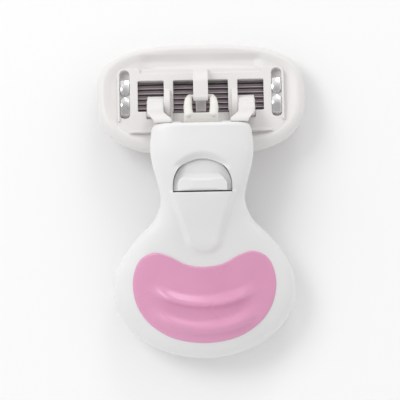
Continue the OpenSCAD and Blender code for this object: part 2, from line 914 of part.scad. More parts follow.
// Oval land under the paddle
module land(grow, z0, z1) {
    translate([0, tail_y, z0])
        linear_extrude(height = z1 - z0)
            polygon([for (a = [0:7.5:359]) [(11.5 + grow) * cos(a), (7.5 + grow) * sin(a)]]);
}

module grip_pad_front() {
    color(rubber_pink)
        land(0, 0, 1.6);
}

comfort_surround();
cartridge_frame();
lubricating_strip();
guard_strip();
clip(-1);  // clip_left
clip(1);  // clip_right
for (i = [1:6]) {
    blade(i);
    blade_support(i);
}
yoke();
plunger();
plunger_spring();
release_button();
ejector();
button_spring();
chassis();
handle_back_shell();
handle_front_shell();
grip_pad_back();
grip_pad_front();
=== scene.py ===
import math

import bpy
import numpy as np
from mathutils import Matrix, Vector


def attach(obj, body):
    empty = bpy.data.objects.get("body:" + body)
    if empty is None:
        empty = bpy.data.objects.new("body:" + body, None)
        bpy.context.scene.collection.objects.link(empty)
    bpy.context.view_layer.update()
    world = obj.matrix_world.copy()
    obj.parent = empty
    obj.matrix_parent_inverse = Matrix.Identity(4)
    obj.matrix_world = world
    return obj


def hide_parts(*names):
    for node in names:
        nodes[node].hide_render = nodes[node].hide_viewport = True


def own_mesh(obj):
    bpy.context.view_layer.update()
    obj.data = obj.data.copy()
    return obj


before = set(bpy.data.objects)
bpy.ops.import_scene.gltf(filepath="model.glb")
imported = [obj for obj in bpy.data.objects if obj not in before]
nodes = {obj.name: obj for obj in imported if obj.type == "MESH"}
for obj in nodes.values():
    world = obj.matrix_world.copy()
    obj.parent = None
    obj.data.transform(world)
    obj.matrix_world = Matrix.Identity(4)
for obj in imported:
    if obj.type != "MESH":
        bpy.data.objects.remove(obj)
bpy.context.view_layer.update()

MM = 0.001

# --- handle back shell ---
# The casing on the thumb side: an injection-moulded ABS half shell, satin white, with a raised tapering
# tongue and a half-moon opening for the release button. It snaps onto the front shell along the parting line.

# Stations from tail to nose, in mm: y, half width, parting height, crown height, belly height
tail_y = -22.0
tail_len = 16.9
nose_y = 19.4
paddle_half = 22.55
stations = np.array([
    [tail_y - 5, 21.7, 5.6, 13.5, 0.9],
    [tail_y, 22.55, 5.4, 13.2, 0.9],
    [-17, 21.75, 5.6, 13.5, 0.9],
    [-12.5, 19.3, 6.4, 14.3, 1.3],
    [-8.5, 16.1, 7.8, 15.6, 2.6],
    [-5, 12.6, 9.6, 17.1, 4.5],
    [-2, 10.95, 11.4, 18.4, 6.6],
    [1, 10.42, 13, 19.4, 8.6],
    [5, 11.2, 14.6, 20.4, 10.8],
    [9, 12.25, 15.5, 20.9, 12.4],
    [13, 12.75, 16.2, 21, 13.3],
    [nose_y, 12.15, 16.9, 20.4, 13.6],
])
roundness = 2.5


def smooth(y, k):
    """Smooth curve through column k of the stations."""
    y = np.clip(y, stations[0, 0], nose_y)
    ys, vs = stations[:, 0], stations[:, k]
    i = np.clip(np.searchsorted(ys, y, side="right") - 1, 0, len(ys) - 2)
    last = len(ys) - 1

    def slope(j):
        a, b = np.maximum(j - 1, 0), np.minimum(j + 1, last)
        return (vs[b] - vs[a]) / (ys[b] - ys[a])

    h = ys[i + 1] - ys[i]
    t = (y - ys[i]) / h
    rise = vs[i + 1] - vs[i]
    s0, s1 = h * slope(i), h * slope(i + 1)
    return vs[i] + t * s0 + t * t * (3 * rise - 2 * s0 - s1) + t ** 3 * (s0 + s1 - 2 * rise)


def ease(a, b, v):
    """Blend from 0 to 1 as v goes from a to b."""
    t = np.clip((v - a) / (b - a), 0, 1)
    return t * t * (3 - 2 * t)


def dome(u, n=roundness):
    return np.maximum(0, 1 - np.abs(u) ** n) ** (1 / n)


def half_width(y):
    tail = paddle_half * np.sqrt(np.maximum(0, 1 - ((tail_y - y) / tail_len) ** 2))
    return np.where(y < tail_y, tail, smooth(y, 1))


def parting(y):
    return smooth(np.maximum(y, tail_y), 2)


def back_z(x, y):
    """Height of the thumb side over the plan, in mm."""
    low = parting(y)
    share = np.where(y < tail_y, dome((tail_y - y) / tail_len), 1.0)
    top = low + (smooth(np.maximum(y, tail_y), 3) - low) * share
    return low + (top - low) * dome(x / np.maximum(half_width(y), 1e-6))


# Rounding of the neck's corners at the mouth, less on the inside so that the yoke's arms stay clear
corner_length, outer_corner, inner_corner = 2.4, 1.3, 0.4


def rings(angles, steps, inset):
    """Grid of points on the handle, one row per station, set in from its outside."""
    rows = []
    c = np.sign(np.cos(angles)) * np.abs(np.cos(angles)) ** (2 / roundness)
    s = np.sign(np.sin(angles)) * np.abs(np.sin(angles)) ** (2 / roundness)
    for kind, v in steps:
        d = inset(v if kind == "y" else tail_y)
        if kind == "tail":
            k = float(dome(np.array(math.sin(v))))
            y = tail_y - (tail_len - d) * math.sin(v)
            w = (paddle_half - d) * math.cos(v)
            mid = stations[1, 2]
            top, low = mid + (stations[1, 3] - d - mid) * k, mid - (mid - stations[1, 4] - d) * k
        else:
            y = v
            d = d + (0.9 - math.sqrt(max(0, 0.81 - max(0, v - nose_y + 0.9) ** 2)) if d == 0 else 0)
            near = max(0, v - nose_y + corner_length) / corner_length
            corner = (inner_corner if inset(v) else outer_corner) * (1 - math.sqrt(max(0, 1 - near ** 2)))
            w, mid = smooth(v, 1) - d - corner, smooth(v, 2)
            top, low = smooth(v, 3) - d, smooth(v, 4) + d
        z = mid + np.where(s > 0, top - mid, mid - low) * s
        rows.append(np.stack([w * c, np.full_like(c, y), z], 1))
    return np.array(rows)


steps = [("tail", math.radians(89.97 * (1 - (k / 60) ** 1.5))) for k in range(60)]
steps += [("y", y) for y in np.arange(tail_y, nose_y - 0.9, 0.22)]
steps += [("y", nose_y - 0.9 + 0.9 * math.sin(a)) for a in np.radians(np.arange(0, 91, 10))]
seam = [0, 0.5, 1.2, 2.2, 3.5]
fan = np.radians(seam + list(np.arange(5, 175.1, 1.0)) + [180 - a for a in reversed(seam)])


def wall(y):
    return 2.2 - 0.8 * ease(-10, -2, np.array(y))


def shell(name, angles, relief):
    """Closed half shell: outer skin with its relief, inner skin, and the rims that join them."""
    outer = rings(angles, steps, lambda y: 0.0)
    inner = rings(angles, steps, lambda y: float(wall(y)))
    inner[-10:, :, 1] = np.linspace(inner[-11, 0, 1], nose_y, 11)[1:, None]
    edge = np.minimum(np.abs(np.sin(angles)) / math.sin(math.radians(2.2)), 1)
    outer[..., 0] *= 1 - (1 - edge) ** 2 * 0.09 / np.maximum(np.abs(outer[..., 0]), 1)
    outer[..., 2] += relief(outer[..., 0], outer[..., 1])
    thinned = relief(inner[..., 0], inner[..., 1]) + wall(inner[..., 1]) - 0.2
    inner[..., 2] += np.minimum(0, thinned)
    m, n = outer.shape[:2]
    verts = np.concatenate([outer.reshape(-1, 3), inner.reshape(-1, 3)]) * MM
    faces = []
    for r in range(m - 1):
        for i in range(n - 1):
            a, b, c, d = r * n + i, r * n + i + 1, (r + 1) * n + i + 1, (r + 1) * n + i
            faces.append((a, d, c, b))
            faces.append((a + m * n, b + m * n, c + m * n, d + m * n))
    for r in range(m - 1):
        for i, flip in ((0, False), (n - 1, True)):
            a, b = r * n + i, (r + 1) * n + i
            quad = (a, a + m * n, b + m * n, b)
            faces.append(quad[::-1] if flip else quad)
    for r, flip in ((0, True), (m - 1, False)):
        for i in range(n - 1):
            a, b = r * n + i, r * n + i + 1
            quad = (a, a + m * n, b + m * n, b)
            faces.append(quad if flip else quad[::-1])
    return make(name, verts, faces)


def make(name, verts, faces):
    """Mesh object from points in metres."""
    mesh = bpy.data.meshes.new(name)
    mesh.from_pydata([tuple(v) for v in verts], [], faces)
    mesh.validate()
    piece = bpy.data.objects.new(name, mesh)
    bpy.context.scene.collection.objects.link(piece)
    return piece


def apply_all(piece):
    """Applies every modifier, so that only the mesh is left."""
    bpy.context.view_layer.update()
    evaluated = piece.evaluated_get(bpy.context.evaluated_depsgraph_get())
    mesh = bpy.data.meshes.new_from_object(evaluated)
    piece.modifiers.clear()
    old, piece.data = piece.data, mesh
    bpy.data.meshes.remove(old)


def cut(piece, *tools):
    """Cuts solids out of a piece and throws the tools away."""
    for tool in tools:
        m = piece.modifiers.new("cut", "BOOLEAN")
        m.operation = "DIFFERENCE"
        m.solver = "EXACT"
        m.object = tool
    apply_all(piece)
    for tool in tools:
        bpy.data.objects.remove(tool)


def soften(piece, angle=35):
    """Smooth shading, broken at edges sharper than an angle."""
    mesh = piece.data
    mesh.polygons.foreach_set("use_smooth", [True] * len(mesh.polygons))
    mesh.set_sharp_from_angle(angle=math.radians(angle))


def prism(outline, z0, z1, name="tool"):
    """Upright prism over an outline in mm that runs counter-clockwise."""
    n = len(outline)
    verts = np.array([(x, y, z) for z in (z0, z1) for x, y in outline]) * MM
    faces = [tuple(reversed(range(n))), tuple(range(n, 2 * n))]
    faces += [(i, (i + 1) % n, n + (i + 1) % n, n + i) for i in range(n)]
    return make(name, verts, faces)


tongue_end, tongue_front = -12.85, 2.2


def tongue_relief(x, y):
    """Height of the raised tongue over the shell."""
    r = 4.2
    c = tongue_end + r
    straight = r + (7.7 - r) * np.clip((y - c) / (tongue_front - c), 0, None)
    side = np.where(y > c, straight - np.abs(x), r - np.hypot(x, y - c))
    height = 1.1 * ease(tongue_end - 2.5, tongue_end + 2.5, y)
    return height * ease(-0.95, 0.85, side) * (1 - ease(tongue_front + 0.1, tongue_front + 0.6, y))


button_r, opening_y, opening_back = 7.3, 3.9, 2.3
roll_width = 0.7
button_travel = 2.5


def opening_radius(y):
    """Radius of the opening's edge: smaller at the front, where the shell rolls down to it."""
    return button_r - roll_width * ease(opening_y + 4, opening_y + 7.3, y)


def opening_roll(x, y):
    """Soft roll of the shell down to the opening, ending just clear of the pushed button."""
    front = ease(opening_y + 1, opening_y + 6, y)
    away = np.where(y > opening_y, np.hypot(x, y - opening_y), np.abs(x)) - opening_radius(y)
    inside = (y > opening_back - 0.3) & (y < opening_y + 9)
    edge_z = np.interp(y - button_travel, [5, 6.6, 11.5], [20, 19, 18.4]) + 0.42
    drop = 0.1 * (1 - front) + front * np.maximum(0, back_z(x, y) - edge_z)
    return -drop * (1 - ease(-0.1, 0.3 + 1.7 * front, away)) * inside


half_moon = []
for a in np.linspace(0, math.pi, 121):
    y = opening_y + button_r * math.sin(a)
    r = float(opening_radius(np.array(y)))
    half_moon.append((r * math.cos(a), opening_y + r * math.sin(a)))
half_moon += [(-button_r, opening_back), (button_r, opening_back)]

back_shell = shell("back_shell", fan, lambda x, y: tongue_relief(x, y) + opening_roll(x, y))
cut(back_shell, prism(half_moon, 12, 30))
soften(back_shell)
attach(back_shell, "handle")
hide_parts("handle_back_shell")


def shader_group(name, inputs, outputs):
    """Empty shader node group with its sockets."""
    tree = bpy.data.node_groups.new(name, "ShaderNodeTree")
    for label, kind, value in inputs:
        socket = tree.interface.new_socket(name=label, in_out="INPUT", socket_type=kind)
        socket.default_value = value
    for label, kind in outputs:
        tree.interface.new_socket(name=label, in_out="OUTPUT", socket_type=kind)
    return tree, tree.nodes.new("NodeGroupInput"), tree.nodes.new("NodeGroupOutput")


def add(tree, kind, **values):
    """Node with its settings; sockets gives the values of its inputs."""
    node = tree.nodes.new(kind)
    for key, value in values.items():
        if key == "sockets":
            for socket, v in value.items():
                node.inputs[socket].default_value = v
        else:
            setattr(node, key, value)
    return node


def noise(tree, place, scale, detail=3, rough=0.5):
    node = add(tree, "ShaderNodeTexNoise", sockets={"Scale": scale, "Detail": detail, "Roughness": rough})
    tree.links.new(place, node.inputs["Vector"])
    return node.outputs["Fac"]


def ramp(tree, value, a, b, low=0.0, high=1.0):
    limits = {"From Min": a, "From Max": b, "To Min": low, "To Max": high}
    node = add(tree, "ShaderNodeMapRange", sockets=limits)
    tree.links.new(value, node.inputs["Value"])
    return node.outputs["Result"]


def mix(tree, factor, a, b):
    node = add(tree, "ShaderNodeMix", data_type="RGBA")
    for socket, v in ((node.inputs[0], factor), (node.inputs[6], a), (node.inputs[7], b)):
        if isinstance(v, (bpy.types.NodeSocket,)):
            tree.links.new(v, socket)
        else:
            socket.default_value = v
    return node.outputs[2]


def math_node(tree, operation, a, b):
    node = add(tree, "ShaderNodeMath", operation=operation)
    for socket, v in ((node.inputs[0], a), (node.inputs[1], b)):
        if isinstance(v, (bpy.types.NodeSocket,)):
            tree.links.new(v, socket)
        else:
            socket.default_value = v
    return node.outputs[0]


def moulded_group():
    """Moulded plastic: faint flow shading, fine spark texture, rubbed patches and a little dust."""
    tree, source, sink = shader_group(
        "moulded_surface",
        [("Base", "NodeSocketColor", (0.8, 0.8, 0.8, 1)), ("Shade", "NodeSocketColor", (0.7, 0.7, 0.7, 1)),
         ("Gloss Low", "NodeSocketFloat", 0.25), ("Gloss High", "NodeSocketFloat", 0.4)],
        [("Color", "NodeSocketColor"), ("Roughness", "NodeSocketFloat"), ("Height", "NodeSocketFloat")],
    )
    place = tree.nodes.new("ShaderNodeTexCoord").outputs["Object"]
    flow = ramp(tree, noise(tree, place, 55, 2), 0.35, 0.7)
    spark = noise(tree, place, 5200, 2, 0.6)
    rub = ramp(tree, noise(tree, place, 90, 1, 0.4), 0.25, 0.75)
    dust = ramp(tree, noise(tree, place, 1500, 2, 0.7), 0.66, 0.78)
    colour = mix(tree, flow, source.outputs["Base"], source.outputs["Shade"])
    speck = mix(tree, math_node(tree, "MULTIPLY", dust, 0.03), colour, (0.55, 0.53, 0.5, 1))
    rough = add(tree, "ShaderNodeMapRange")
    tree.links.new(rub, rough.inputs["Value"])
    tree.links.new(source.outputs["Gloss Low"], rough.inputs["To Min"])
    tree.links.new(source.outputs["Gloss High"], rough.inputs["To Max"])
    tree.links.new(speck, sink.inputs["Color"])
    tree.links.new(rough.outputs["Result"], sink.inputs["Roughness"])
    tree.links.new(spark, sink.inputs["Height"])
    return tree


moulded = moulded_group()


def finish_material(name, group, group_values, bump, bump_depth, **shader_values):
    """Material with one surface group feeding its Principled shader through a bump."""
    material = bpy.data.materials.new(name)
    material.use_nodes = True
    tree = material.node_tree
    shader = tree.nodes["Principled BSDF"]
    surface = tree.nodes.new("ShaderNodeGroup")
    surface.node_tree = group
    for label, value in group_values.items():
        surface.inputs[label].default_value = value
    for label, value in shader_values.items():
        shader.inputs[label.replace("_", " ")].default_value = value
    tree.links.new(surface.outputs["Color"], shader.inputs["Base Color"])
    tree.links.new(surface.outputs["Roughness"], shader.inputs["Roughness"])
    bumps = add(tree, "ShaderNodeBump", sockets={"Strength": bump, "Distance": bump_depth})
    tree.links.new(surface.outputs["Height"], bumps.inputs["Height"])
    tree.links.new(bumps.outputs["Normal"], shader.inputs["Normal"])
    return material


def dress(piece, material):
    piece.data.materials.clear()
    piece.data.materials.append(material)


white_plastic = finish_material(
    "white_plastic", moulded,
    {"Base": (0.79, 0.788, 0.79, 1), "Shade": (0.765, 0.762, 0.76, 1), "Gloss Low": 0.29, "Gloss High": 0.35},
    0.08, 0.000006, IOR=1.5, Subsurface_Weight=0.12, Subsurface_Radius=(0.002, 0.0018, 0.0016),
)
dress(back_shell, white_plastic)

# --- handle front shell ---
# The casing on the finger side, from the same white ABS, with a notch in the mouth for the plunger and
# a shallow oval pocket for the rubber land that the razor lies on.

front_shell = shell("front_shell", fan + math.pi, lambda x, y: 0 * x)
notch = prism([(-4.9, 17.8), (4.9, 17.8), (4.9, 22), (-4.9, 22)], 10, 15.2)
land_x, land_y, land_depth = 11.55, 7.55, 1.62
oval = [(land_x * math.cos(a), tail_y + land_y * math.sin(a)) for a in np.radians(np.arange(0, 360, 3))]
pocket = prism(oval, -1, land_depth)
cut(front_shell, notch, pocket)
soften(front_shell)
dress(front_shell, white_plastic)
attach(front_shell, "handle")
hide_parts("handle_front_shell")

# --- thumb pad ---
# The kidney-shaped pad over the paddle: pink thermoplastic elastomer moulded onto the back shell, with two
# crescent ridges for the thumb. It is the softest piece of the handle and has a dull, slightly greasy sheen.

kidney_half = [
    (0, -16.2), (4.6, -15.5), (8.6, -13.5), (12.3, -12.5), (15.7, -14.1), (17.4, -17.6),
    (17.7, -21.8), (16.4, -26.4), (13.2, -30.6), (7.6, -33.9),
]
kidney = np.array(kidney_half + [(0, -35.1)] + [(-x, y) for x, y in kidney_half[:0:-1]])
kidney_mid = np.array([0, -24.0])


def closed_curve(points, t):
    """Smooth closed curve through points at places t."""
    n = len(points)
    i = np.floor(t).astype(int) % n
    f = (t - np.floor(t))[:, None]
    a, b, c, d = points[(i - 1) % n], points[i], points[(i + 1) % n], points[(i + 2) % n]
    bend = f * f * (2 * a - 5 * b + 4 * c - d)
    return 0.5 * (2 * b + f * (c - a) + bend + f ** 3 * (3 * b - a - 3 * c + d))


def ridge(x, y, cy, r, reach, h):
    """Crescent ridge that rises slowly and drops steeply outside its arc."""
    d = np.hypot(x, y - cy) - r
    lift = h * (1 - ease(reach * 0.55, reach, np.abs(x))) * ease(-2.9, -0.1, d) * (1 - ease(0, 1.2, d))
    return np.where(y > cy, 0, lift)


pad_n = 240
pad_rim = closed_curve(kidney, np.arange(pad_n) * len(kidney) / pad_n)
pad_edge_shares = 0.9 + 0.1 * np.sin(np.linspace(0.1, 1, 12) * math.pi / 2)
pad_shares = np.concatenate([np.linspace(0.02, 0.9, 44), pad_edge_shares])
ridge_height = 1.35
pad_points = [kidney_mid + (pad_rim - kidney_mid) * s for s in pad_shares]
pad_rows = []
for s, p in zip(pad_shares, pad_points):
    from_edge = (1 - s) * np.linalg.norm(pad_rim - kidney_mid, axis=1)
    edge = np.sqrt(np.maximum(0, 1 - (1 - np.minimum(from_edge / 0.75, 1)) ** 2))
    x, y = p[:, 0], p[:, 1]
    upper = ridge(x, y, 0.3, 26, 14, ridge_height)
    lower = ridge(x, y, -8.5, 23.4, 14.5, ridge_height)
    z = back_z(x, y) - 0.1 + 0.55 * edge + upper + lower
    pad_rows.append(np.column_stack([p, z]))
pad_rows.append(np.column_stack([pad_rim, back_z(pad_rim[:, 0], pad_rim[:, 1]) - 0.8]))
pad_rows.append(np.column_stack([kidney_mid + (pad_rim - kidney_mid) * 0.5, np.full(pad_n, 11.0)]))
pad_rows = np.array(pad_rows)
m = len(pad_rows)
middle = np.array([[0, kidney_mid[1], pad_rows[0, :, 2].mean()], [0, kidney_mid[1], 11.0]])
pad_verts = np.concatenate([pad_rows.reshape(-1, 3), middle]) * MM
pad_faces = []
for r in range(m - 1):
    for i in range(pad_n):
        j = (i + 1) % pad_n
        pad_faces.append((r * pad_n + i, r * pad_n + j, (r + 1) * pad_n + j, (r + 1) * pad_n + i))
for i in range(pad_n):
    j = (i + 1) % pad_n
    pad_faces.append((m * pad_n, j, i))
    pad_faces.append((m * pad_n + 1, (m - 1) * pad_n + i, (m - 1) * pad_n + j))
thumb_pad = make("thumb_pad", pad_verts, pad_faces)
soften(thumb_pad, 60)
pink_rubber = finish_material(
    "pink_rubber", moulded,
    {"Base": (0.74, 0.345, 0.525, 1), "Shade": (0.69, 0.31, 0.48, 1), "Gloss Low": 0.22, "Gloss High": 0.29},
    0.1, 0.000008, IOR=1.5, Subsurface_Weight=0.1, Subsurface_Radius=(0.002, 0.001, 0.001),
)
dress(thumb_pad, pink_rubber)
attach(thumb_pad, "handle")
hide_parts("grip_pad_back")

# --- land pad ---
# The oval land under the paddle, moulded in the same pink rubber as the thumb pad. It fills the pocket in the
# front shell, stands just proud of it, and keeps the razor from sliding when it is laid down.

dress(nodes["grip_pad_front"], pink_rubber)

# --- chassis and ejector ---
# The guide fixed inside the neck and the fork that slides in it, both moulded in natural acetal and left
# with the dull skin of the tool, since neither is seen in use.

inner_plastic = finish_material(
    "inner_plastic", moulded,
    {"Base": (0.72, 0.72, 0.68, 1), "Shade": (0.66, 0.66, 0.62, 1), "Gloss Low": 0.4, "Gloss High": 0.55},
    0.3, 0.00003, IOR=1.5,
)
for n in ("chassis", "ejector"):
    dress(nodes[n], inner_plastic)


# --- springs ---
# Two compression springs of drawn stainless wire: one returns the cartridge, one returns the button. Both
# stand on stems inside the neck.

def metal_group():
    """Rolled or ground steel: fine streaks along X, water marks and small pits."""
    tree, source, sink = shader_group(
        "worked_metal",
        [("Base", "NodeSocketColor", (0.6, 0.6, 0.6, 1)), ("Shade", "NodeSocketColor", (0.5, 0.5, 0.5, 1)),
         ("Gloss Low", "NodeSocketFloat", 0.2), ("Gloss High", "NodeSocketFloat", 0.4)],
        [("Color", "NodeSocketColor"), ("Roughness", "NodeSocketFloat"), ("Height", "NodeSocketFloat")],
    )
    place = tree.nodes.new("ShaderNodeTexCoord").outputs["Object"]
    stretch = add(tree, "ShaderNodeMapping")
    stretch.inputs["Scale"].default_value = (0.02, 1, 1)
    tree.links.new(place, stretch.inputs["Vector"])
    streak = noise(tree, stretch.outputs[0], 9000, 3, 0.6)
    marks = ramp(tree, noise(tree, place, 420, 3, 0.6), 0.45, 0.7)
    colour = mix(tree, marks, source.outputs["Base"], source.outputs["Shade"])
    rough = add(tree, "ShaderNodeMapRange", sockets={"From Min": 0.3, "From Max": 0.7})
    tree.links.new(streak, rough.inputs["Value"])
    tree.links.new(source.outputs["Gloss Low"], rough.inputs["To Min"])
    tree.links.new(source.outputs["Gloss High"], rough.inputs["To Max"])
    tree.links.new(colour, sink.inputs["Color"])
    tree.links.new(rough.outputs["Result"], sink.inputs["Roughness"])
    tree.links.new(streak, sink.inputs["Height"])
    return tree


metal = metal_group()
spring_steel = finish_material(
    "spring_steel", metal,
    {"Base": (0.6, 0.6, 0.62, 1), "Shade": (0.5, 0.5, 0.52, 1), "Gloss Low": 0.2, "Gloss High": 0.35},
    0.2, 0.00001, Metallic=1.0,
)


def coil_spring(name, node, y0, y1, turns, body):
    """Round wire wound along Y, with closed ends."""
    core_z, coil_r, wire_r, sides = 16.1, 1.15, 0.175, 12
    count = int(turns * 40)
    k = np.arange(count + 1)
    a = 2 * math.pi * k / 40
    run = np.clip((k / count - 0.08) / 0.84, 0, 1)
    y = y0 + wire_r + (y1 - y0 - 2 * wire_r) * (0.06 * k / count + 0.94 * run)
    out = np.stack([np.cos(a), 0 * a, np.sin(a)], 1)
    centre = np.stack([0 * a, y, 0 * a + core_z], 1) + coil_r * out
    b = -2 * math.pi * np.arange(sides) / sides
    ring = np.cos(b)[None, :, None] * out[:, None] + np.sin(b)[None, :, None] * np.array([0, 1, 0])
    verts = (centre[:, None] + wire_r * ring).reshape(-1, 3) * MM
    faces = [tuple(range(sides)), tuple(reversed(range(count * sides, (count + 1) * sides)))]
    for i in range(count):
        for j in range(sides):
            n = (j + 1) % sides
            faces.append((i * sides + j, (i + 1) * sides + j, (i + 1) * sides + n, i * sides + n))
    piece = make(name, verts, faces)
    soften(piece, 60)
    dress(piece, spring_steel)
    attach(piece, body)
    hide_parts(node)
    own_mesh(piece)


# The post inside the neck holds both springs by one end
post_back, post_front, flange_y, ejector_y = 7.4, 8.4, 13.7, 1.8
coil_spring(
    "plunger_coil", "plunger_spring", post_front, flange_y, 4.5,
    "handle",
)
coil_spring(
    "button_coil", "button_spring", ejector_y, post_back, 6,
    "handle",
)

# --- release button ---
# The half-moon in the neck, moulded in the handle's white with a raised ledge for the thumb nail. It slides
# forward under the edge of the shell and drives the ejector behind it.

def melted_copy(name, node, voxel, turns, swell):
    """Copy of a solid remeshed finely, relaxed until its edges are round, and swelled back."""
    piece = make(name, [], [])
    piece.data = nodes[node].data.copy()
    piece.data.name = name
    weld = piece.modifiers.new("weld", "WELD")
    weld.merge_threshold = 0.000002
    grid = piece.modifiers.new("grid", "REMESH")
    grid.mode = "VOXEL"
    grid.voxel_size = voxel * MM
    relax = piece.modifiers.new("relax", "SMOOTH")
    relax.factor = 0.5
    relax.iterations = turns
    grow = piece.modifiers.new("grow", "DISPLACE")
    grow.strength = swell * MM
    grow.mid_level = 0
    apply_all(piece)
    soften(piece, 180)
    return piece


release_button = melted_copy("half_moon_button", "release_button", 0.1, 12, 0.04)
side_fit = 1.026
for v in release_button.data.vertices:
    v.co.x *= side_fit
dress(release_button, white_plastic)
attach(release_button, "button")
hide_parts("release_button")

# --- yoke ---
# The fork between handle and cartridge, moulded in the cartridge's own slightly warmer white. Its two blocks
# hold the pivot pins, and its arms slide into the neck, where the ejector pushes them out.

cartridge_white = finish_material(
    "cartridge_white", moulded,
    {
        "Base": (0.765, 0.748, 0.74, 1), "Shade": (0.745, 0.725, 0.715, 1),
        "Gloss Low": 0.3, "Gloss High": 0.42,
    },
    0.2, 0.00002, IOR=1.48, Subsurface_Weight=0.12, Subsurface_Radius=(0.002, 0.0017, 0.0016),
)
yoke = melted_copy("yoke_arms", "yoke", 0.11, 48, 0.1)
dress(yoke, cartridge_white)
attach(yoke, "yoke")
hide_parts("yoke")

# --- plunger ---
# The two horns on a short bar, in a creamy low-friction acetal. They lean on the back of the cartridge, and
# the spring behind the bar brings the cartridge back after each turn.

cream_plastic = finish_material(
    "cream_plastic", moulded,
    {"Base": (0.8, 0.785, 0.75, 1), "Shade": (0.77, 0.75, 0.71, 1), "Gloss Low": 0.25, "Gloss High": 0.36},
    0.2, 0.00002, IOR=1.48, Subsurface_Weight=0.15, Subsurface_Radius=(0.002, 0.0018, 0.0015),
)
plunger = melted_copy("plunger_horns", "plunger", 0.08, 16, 0.03)
dress(plunger, cream_plastic)
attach(plunger, "plunger")
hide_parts("plunger")

# --- cartridge frame ---
# The inner housing that carries the blade stack: one moulding with two windows for rinsing, ribs, a centre
# tab and two raised walls with the bearings. Its edges are rounded as they come from the tool.

cartridge_frame = melted_copy("housing", "cartridge_frame", 0.09, 14, 0.03)
dress(cartridge_frame, cartridge_white)
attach(cartridge_frame, "cartridge")
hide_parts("cartridge_frame")

# --- strips ---
# On the front of the cartridge, cap side: a waxy polymer strip with three channels that swells and gives off
# its lubricant when wet. On the guard side: a finned strip of the same pink rubber as the grips.

lubricating_wax = finish_material(
    "lubricating_wax", moulded,
    {"Base": (0.72, 0.62, 0.66, 1), "Shade": (0.66, 0.55, 0.6, 1), "Gloss Low": 0.35, "Gloss High": 0.6},
    0.35, 0.00003, IOR=1.46, Subsurface_Weight=0.2, Subsurface_Radius=(0.002, 0.0015, 0.0015),
)
dress(nodes["lubricating_strip"], lubricating_wax)
dress(nodes["guard_strip"], pink_rubber)

# --- clips ---
# Two narrow bands of bright rolled aluminium that hold the blade stack in the housing. Each runs round the
# front and is bent over into its slot at the back, where its two legs end in round tips.

clip_metal = finish_material(
    "clip_metal", metal,
    {"Base": (0.88, 0.88, 0.88, 1), "Shade": (0.72, 0.71, 0.71, 1), "Gloss Low": 0.05, "Gloss High": 0.12},
    0.15, 0.00001, Metallic=1.0,
)
tilt = math.radians(18)
pivot = np.array([0, 23.2148, 6.7685])


def in_cartridge(points):
    """Points of the cartridge's own frame, in mm, put where it rests."""
    p = np.asarray(points, float)
    y = p[..., 1] * math.cos(tilt) + p[..., 2] * math.sin(tilt)
    z = -p[..., 1] * math.sin(tilt) + p[..., 2] * math.cos(tilt)
    return np.stack([p[..., 0], y, z], -1) + pivot


def band(name, x, node):
    """Bent strip along a path in y and z, with its two ends rounded in plan."""
    low, high, front, back = -2.25, 6.95, -1.8, 2.0
    path = []

    def bend(y, z, r, a0, a1):
        for a in np.radians(np.linspace(a0, a1, 9)):
            path.append((y + r * math.cos(a), z + r * math.sin(a)))

    r = 0.45
    tip, leg, bow = 2.3, 3.7, 0.3
    for y in np.linspace(tip, tip - leg, 30):
        rise = 0.1 * float(ease(low, tip, np.array(y)))
        path.append((y, back - 0.03 + bow * math.sin(math.pi * (tip - y) / leg) + rise))
    bend(low + r, back - r - 0.15, r, 90, 180)
    bend(low + r, front + r, r, 180, 270)
    bend(high - r, front + r, r, 270, 360)
    bend(high - r, back - r, r, 0, 90)
    for d in np.linspace(0.3, leg, 30):
        path.append((high - r - d, back + bow * math.sin(math.pi * d / leg) * (1 - 0.5 * d / leg)))
    path = np.array(path)
    step = np.gradient(path, axis=0)
    normal = np.stack([-step[:, 1], step[:, 0]], 1) / np.linalg.norm(step, axis=1)[:, None]
    run = np.concatenate([[0], np.cumsum(np.linalg.norm(np.diff(path, axis=0), axis=1))])
    end = np.minimum(run, run[-1] - run)
    half_band = 1.15
    half = half_band * np.sqrt(np.clip(1 - (1 - np.clip(end / half_band, 0.02, 1)) ** 2, 0, 1))
    across = np.linspace(-1, 1, 21)
    rows = []
    thickness = 0.26
    for side in (0, -thickness):
        crown = 0.14 * (1 - across ** 2)
        lift = side + (crown if side == 0 else 0)
        rows.append(np.stack([
            x + half[:, None] * across[None, :],
            path[:, :1] - normal[:, :1] * (lift * np.ones_like(across))[None, :],
            path[:, 1:] - normal[:, 1:] * (lift * np.ones_like(across))[None, :],
        ], -1))
    m, n = rows[0].shape[:2]
    verts = in_cartridge(np.concatenate([g.reshape(-1, 3) for g in rows])) * MM
    faces = []
    for i in range(m - 1):
        for j in range(n - 1):
            a, b, c, d = i * n + j, i * n + j + 1, (i + 1) * n + j + 1, (i + 1) * n + j
            faces.append((a, b, c, d))
            faces.append((a + m * n, d + m * n, c + m * n, b + m * n))
        for j, turn in ((0, 1), (n - 1, -1)):
            a, b = i * n + j, (i + 1) * n + j
            faces.append((a, b, b + m * n, a + m * n)[::turn])
    for i, turn in ((0, -1), (m - 1, 1)):
        for j in range(n - 1):
            a, b = i * n + j, i * n + j + 1
            faces.append((a, b, b + m * n, a + m * n)[::turn])
    piece = make(name, verts, faces)
    soften(piece, 50)
    dress(piece, clip_metal)
    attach(piece, "cartridge")
    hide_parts(node)


band("clip_band_left", -18.8, "clip_left")
band("clip_band_right", 18.8, "clip_right")

# --- comfort surround ---
# The wide oval flange round the housing, moulded in a softer white than the handle. It spreads the pressure
# on the skin. A shallow trough lies between the housing and the cap edge at the back.

